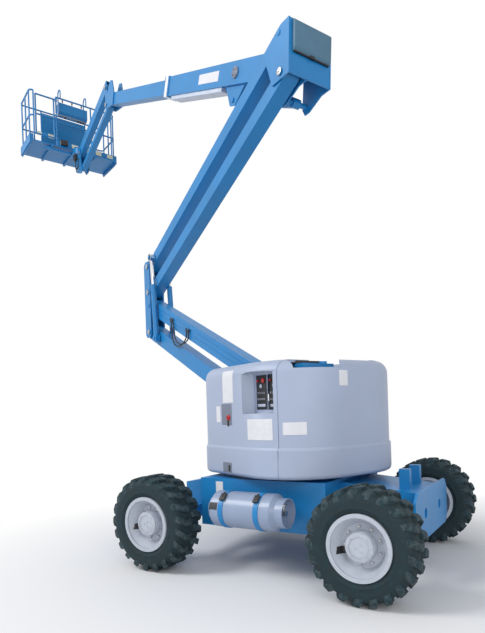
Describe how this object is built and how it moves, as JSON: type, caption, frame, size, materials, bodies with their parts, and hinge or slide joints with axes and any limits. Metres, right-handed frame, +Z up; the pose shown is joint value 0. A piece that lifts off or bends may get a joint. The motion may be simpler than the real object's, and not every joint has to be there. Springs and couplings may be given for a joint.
{
  "type": "articulating boom lift",
  "caption": "Self-propelled articulating boom lift on rough-terrain wheels, with a folding riser, telescoping boom, jib and railed work platform.",
  "frame": {"origin": "on the ground under the turntable's slew axis", "axes": "+X along the chassis to the steered wheels, +Y to the chassis's left, +Z up"},
  "size_m": [9.2452, 5.3726, 8.3456],
  "materials": {
    "blue_paint": "gloss",
    "blue_light": "painted",
    "blue_plastic": "matte",
    "cover_grey": "satin",
    "cap_dark": "matte",
    "panel_black": "matte",
    "rim_grey": "satin",
    "tank_grey": "painted",
    "tyre_black": "matte",
    "rod_chrome": "polished",
    "tray_silver": "satin",
    "dark_steel": "satin",
    "iron": "matte",
    "engine_alloy": "matte"
  },
  "bodies": {
    "chassis": {"chassis_frame": "blue_paint", "steer_end_frame": "blue_paint", "tie_down_plate": "blue_paint", "drive_end_frame": "blue_paint", "steer_axle": "blue_paint", "drive_axle": "blue_paint", "gas_tank": "tank_grey", "tank_straps": "blue_paint", "slew_ring": "dark_steel"},
    "steer_left": {"knuckle_left": "dark_steel"},
    "steer_right": {"knuckle_right": "dark_steel"},
    "wheel_fl": {"wheel_front_left": "rim_grey", "tyre_front_left": "tyre_black"},
    "wheel_fr": {"wheel_front_right": "rim_grey", "tyre_front_right": "tyre_black"},
    "wheel_rl": {"wheel_rear_left": "rim_grey", "tyre_rear_left": "tyre_black"},
    "wheel_rr": {"wheel_rear_right": "rim_grey", "tyre_rear_right": "tyre_black"},
    "turntable": {"turntable_deck": "blue_paint", "riser_bracket": "blue_paint", "cover_hinges": "blue_paint", "counterweight": "iron", "engine_block": "engine_alloy", "hydraulic_tank": "blue_plastic", "ground_controls": "panel_black", "cover_tail": "cover_grey"},
    "left_cover": {"cover_left": "cover_grey"},
    "right_cover": {"cover_right": "cover_grey"},
    "low_link_a": {"lower_link_bottom": "blue_paint"},
    "low_link_b": {"lower_link_top": "blue_paint"},
    "elbow_body": {"elbow": "blue_paint"},
    "high_link_a": {"upper_link_bottom": "blue_paint"},
    "high_link_b": {"upper_link_top": "blue_paint"},
    "riser_barrel_body": {"riser_barrels": "blue_paint"},
    "riser_rod_body": {"riser_rods": "rod_chrome"},
    "pivot": {"upper_pivot": "blue_paint", "upper_pivot_cap": "cap_dark"},
    "primary": {"primary_base": "blue_paint", "cable_tray": "tray_silver"},
    "primary_barrel_body": {"primary_barrel": "blue_paint"},
    "primary_rod_body": {"primary_rod": "rod_chrome"},
    "extension": {"primary_extension": "blue_paint"},
    "knuckle_head": {"jib_knuckle": "blue_paint"},
    "jib": {"jib_arm": "blue_paint"},
    "jib_level": {"jib_link": "blue_paint"},
    "mount_body": {"platform_mount": "blue_paint"},
    "platform": {"platform_floor": "blue_light", "platform_rails": "blue_light", "platform_panel": "blue_light", "platform_controls": "blue_plastic"},
    "gate": {"platform_gate": "blue_light"}
  },
  "joints": [
    {"name": "steer_l", "type": "hinge", "parent": "chassis", "child": "steer_left", "pos_m": [1.005, 0.76, 0.43], "axis": [0, 0, 1], "range_deg": [-35, 35]},
    {"name": "steer_r", "type": "hinge", "parent": "chassis", "child": "steer_right", "pos_m": [1.005, -0.76, 0.43], "axis": [0, 0, 1], "range_deg": [-35, 35]},
    {"name": "roll_fl", "type": "hinge", "parent": "steer_left", "child": "wheel_fl", "pos_m": [1.005, 0.99, 0.43], "axis": [0, 1, 0], "continuous": true},
    {"name": "roll_fr", "type": "hinge", "parent": "steer_right", "child": "wheel_fr", "pos_m": [1.005, -0.99, 0.43], "axis": [0, 1, 0], "continuous": true},
    {"name": "roll_rl", "type": "hinge", "parent": "chassis", "child": "wheel_rl", "pos_m": [-1.005, 0.99, 0.43], "axis": [0, 1, 0], "continuous": true},
    {"name": "roll_rr", "type": "hinge", "parent": "chassis", "child": "wheel_rr", "pos_m": [-1.005, -0.99, 0.43], "axis": [0, 1, 0], "continuous": true},
    {"name": "slew", "type": "hinge", "parent": "chassis", "child": "turntable", "pos_m": [0, 0, 0.85], "axis": [0, 0, 1], "range_deg": [-153.5, 201.5]},
    {"name": "cover_l_lift", "type": "hinge", "parent": "turntable", "child": "left_cover", "pos_m": [-0.13219, -0.2969, 1.786], "axis": [-0.9135, 0.4067, 0], "range_deg": [0, 60]},
    {"name": "cover_r_lift", "type": "hinge", "parent": "turntable", "child": "right_cover", "pos_m": [0.13219, 0.2969, 1.786], "axis": [0.9135, -0.4067, 0], "range_deg": [0, 60]},
    {"name": "riser", "type": "hinge", "parent": "turntable", "child": "low_link_a", "pos_m": [0.1156, -0.23208, 1.14], "axis": [0.4067, 0.9135, 0], "range_deg": [-23.5, 23]},
    {"name": "riser_top", "type": "hinge", "parent": "turntable", "child": "low_link_b", "pos_m": [0.1156, -0.23208, 1.51], "axis": [0.4067, 0.9135, 0], "range_deg": [-23.5, 23]},
    {"name": "riser_elbow", "type": "hinge", "parent": "low_link_a", "child": "elbow_body", "pos_m": [-2.78948, 1.06134, 2.57], "axis": [0.4067, 0.9135, 0], "range_deg": [-23, 23.5]},
    {"name": "riser_upper_a", "type": "hinge", "parent": "elbow_body", "child": "high_link_a", "pos_m": [-2.78948, 1.06134, 3.13], "axis": [0.4067, 0.9135, 0], "range_deg": [-23, 23.5]},
    {"name": "riser_upper_b", "type": "hinge", "parent": "elbow_body", "child": "high_link_b", "pos_m": [-2.78948, 1.06134, 3.49], "axis": [0.4067, 0.9135, 0], "range_deg": [-23, 23.5]},
    {"name": "riser_pivot", "type": "hinge", "parent": "high_link_a", "child": "pivot", "pos_m": [0.1156, -0.23208, 4.515], "axis": [0.4067, 0.9135, 0], "range_deg": [-23.5, 23]},
    {"name": "riser_cylinder", "type": "hinge", "parent": "low_link_a", "child": "riser_barrel_body", "pos_m": [-2.53952, 0.95005, 2.44696], "axis": [0.4067, 0.9135, 0], "range_deg": [-21.39, 21.86]},
    {"name": "riser_rod", "type": "slide", "parent": "riser_barrel_body", "child": "riser_rod_body", "axis": [-0.0732, 0.0326, 0.9968], "range_m": [-0.1825, 0.1786]},
    {"name": "primary_lift", "type": "hinge", "parent": "pivot", "child": "primary", "pos_m": [0.21728, -0.0037, 4.725], "axis": [-0.4067, -0.9135, 0], "range_deg": [-51.8, 28.2]},
    {"name": "primary_cylinder", "type": "hinge", "parent": "pivot", "child": "primary_barrel_body", "pos_m": [0.0163, 0.08579, 4.44], "axis": [-0.4067, -0.9135, 0], "range_deg": [-51.8, 28.2]},
    {"name": "primary_rod_slide", "type": "slide", "parent": "primary_barrel_body", "child": "primary_rod_body", "axis": [-0.8134, 0.3622, 0.4552], "range_m": [-0.1546, 0.2823]},
    {"name": "telescope", "type": "slide", "parent": "primary", "child": "extension", "axis": [-0.8397, 0.3738, 0.3939], "range_m": [-1.85, 0.1]},
    {"name": "jib_level_head", "type": "hinge", "parent": "extension", "child": "knuckle_head", "pos_m": [-4.71586, 2.19268, 6.94], "axis": [-0.4067, -0.9135, 0], "range_deg": [-28.2, 51.8]},
    {"name": "jib_lift", "type": "hinge", "parent": "knuckle_head", "child": "jib", "pos_m": [-4.78438, 2.22319, 7.29], "axis": [0.4067, 0.9135, 0], "range_deg": [-59.7, 72.3]},
    {"name": "jib_link_turn", "type": "hinge", "parent": "knuckle_head", "child": "jib_level", "pos_m": [-4.71586, 2.19268, 6.94], "axis": [0.4067, 0.9135, 0], "range_deg": [-59.7, 72.3]},
    {"name": "mount_level", "type": "hinge", "parent": "jib", "child": "mount_body", "pos_m": [-6.33523, 2.91367, 6.82558], "axis": [0.4067, 0.9135, 0], "range_deg": [-72.3, 59.7]},
    {"name": "platform_turn", "type": "hinge", "parent": "mount_body", "child": "platform", "pos_m": [-6.59011, 3.02715, 6.98958], "axis": [0, 0, 1], "range_deg": [-80, 80]},
    {"name": "gate_swing", "type": "hinge", "parent": "platform", "child": "gate", "pos_m": [-6.92745, 2.76814, 7.6], "axis": [0, 0, -1], "range_deg": [0, 90]}
  ],
  "couplings": [
    {"joint": "steer_r", "follows": "steer_l", "ratio": 1},
    {"joint": "riser_top", "follows": "riser", "ratio": 1},
    {"joint": "riser_elbow", "follows": "riser", "ratio": -1},
    {"joint": "riser_upper_a", "follows": "riser", "ratio": -1},
    {"joint": "riser_upper_b", "follows": "riser", "ratio": -1},
    {"joint": "riser_pivot", "follows": "riser", "ratio": 1},
    {"joint": "riser_cylinder", "follows": "riser", "ratio": -0.93},
    {"joint": "riser_rod", "follows": "riser", "m_per_rad": 0.44},
    {"joint": "primary_cylinder", "follows": "primary_lift", "ratio": 1},
    {"joint": "primary_rod_slide", "follows": "primary_lift", "m_per_rad": -0.31},
    {"joint": "jib_level_head", "follows": "primary_lift", "ratio": -1},
    {"joint": "jib_link_turn", "follows": "jib_lift", "ratio": 1},
    {"joint": "mount_level", "follows": "jib_lift", "ratio": -1}
  ]
}
